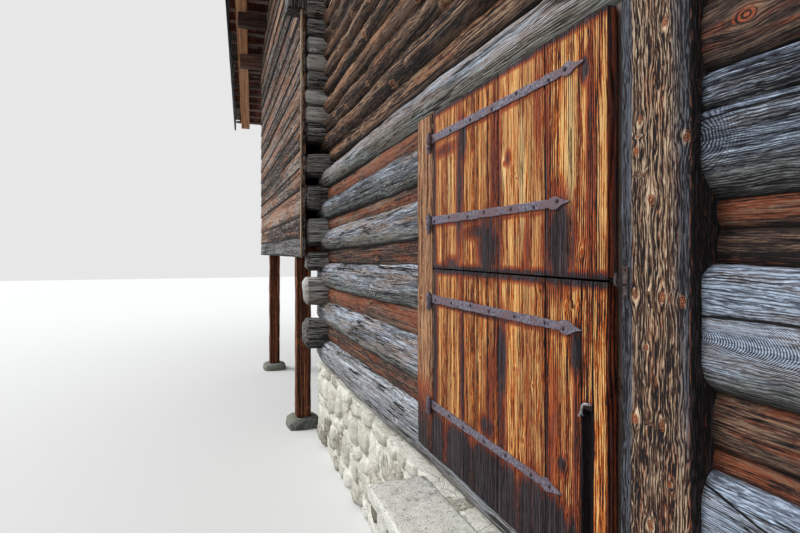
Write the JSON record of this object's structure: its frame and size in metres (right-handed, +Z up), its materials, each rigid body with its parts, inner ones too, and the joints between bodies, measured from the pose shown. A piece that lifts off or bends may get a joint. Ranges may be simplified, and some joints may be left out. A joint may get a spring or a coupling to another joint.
{
  "type": "alpine chalet",
  "caption": "Alpine chalet: log block on a stone plinth with a split plank door on strap hinges, a boarded bay on posts and one wide low roof.",
  "frame": {"origin": "centre of the plan at the underside of the plinth", "axes": "+X along the gable front, away from the open bay; -Y out of the front with the door; +Z up"},
  "size_m": [20.08, 12.96, 9.4091],
  "materials": {
    "stone": "whitewashed rubble",
    "iron": "forged, aged",
    "door_wood": "sun-burnt planks",
    "grey_wood": "weathered logs",
    "brown_wood": "sheltered logs",
    "pale_wood": "sawn timber",
    "shingle": "weathered shingles"
  },
  "bodies": {
    "house": {"plinth_front": "stone", "plinth_back": "stone", "plinth_sides": "stone", "post_pads": "stone", "ground_floor": "brown_wood", "floor_joists": "brown_wood", "sill_log": "grey_wood", "front_wall_left": "grey_wood", "front_wall_right": "grey_wood", "lintel_log": "grey_wood", "front_gable_wall": "brown_wood", "back_wall": "grey_wood", "left_log_wall": "grey_wood", "right_log_wall": "grey_wood", "bay_end_wall": "grey_wood", "bay_posts": "pale_wood", "bay_sill_beams": "brown_wood", "bay_floor": "brown_wood", "bay_studs": "brown_wood", "bay_boarding_front": "brown_wood", "bay_boarding_back": "brown_wood", "bay_corner_strips": "pale_wood", "ridge_purlin": "brown_wood", "purlins": "brown_wood", "rafters": "brown_wood", "verge_rafters": "pale_wood", "battens": "pale_wood", "roof_left": "shingle", "roof_right": "shingle", "ridge_boards": "shingle", "verge_boards": "shingle", "roof_poles": "grey_wood", "hinge_post": "door_wood", "latch_post": "door_wood", "hinge_pintles": "iron", "latch_hook": "iron", "doorstep_slab": "stone", "doorstep_legs": "stone"},
    "lower_door": {"lower_door_leaf": "door_wood", "lower_door_ledges": "door_wood", "lower_door_straps": "iron", "lower_door_handle": "iron"},
    "upper_door": {"upper_door_leaf": "door_wood", "upper_door_ledges": "door_wood", "upper_door_straps": "iron"}
  },
  "joints": [
    {"name": "lower_door_hinge", "type": "hinge", "parent": "house", "child": "lower_door", "pos_m": [2.1715, -5.039, 1.642], "axis": [0, 0, -1], "range_deg": [0, 110]},
    {"name": "upper_door_hinge", "type": "hinge", "parent": "house", "child": "upper_door", "pos_m": [2.1715, -5.039, 2.652], "axis": [0, 0, -1], "range_deg": [0, 110]}
  ]
}
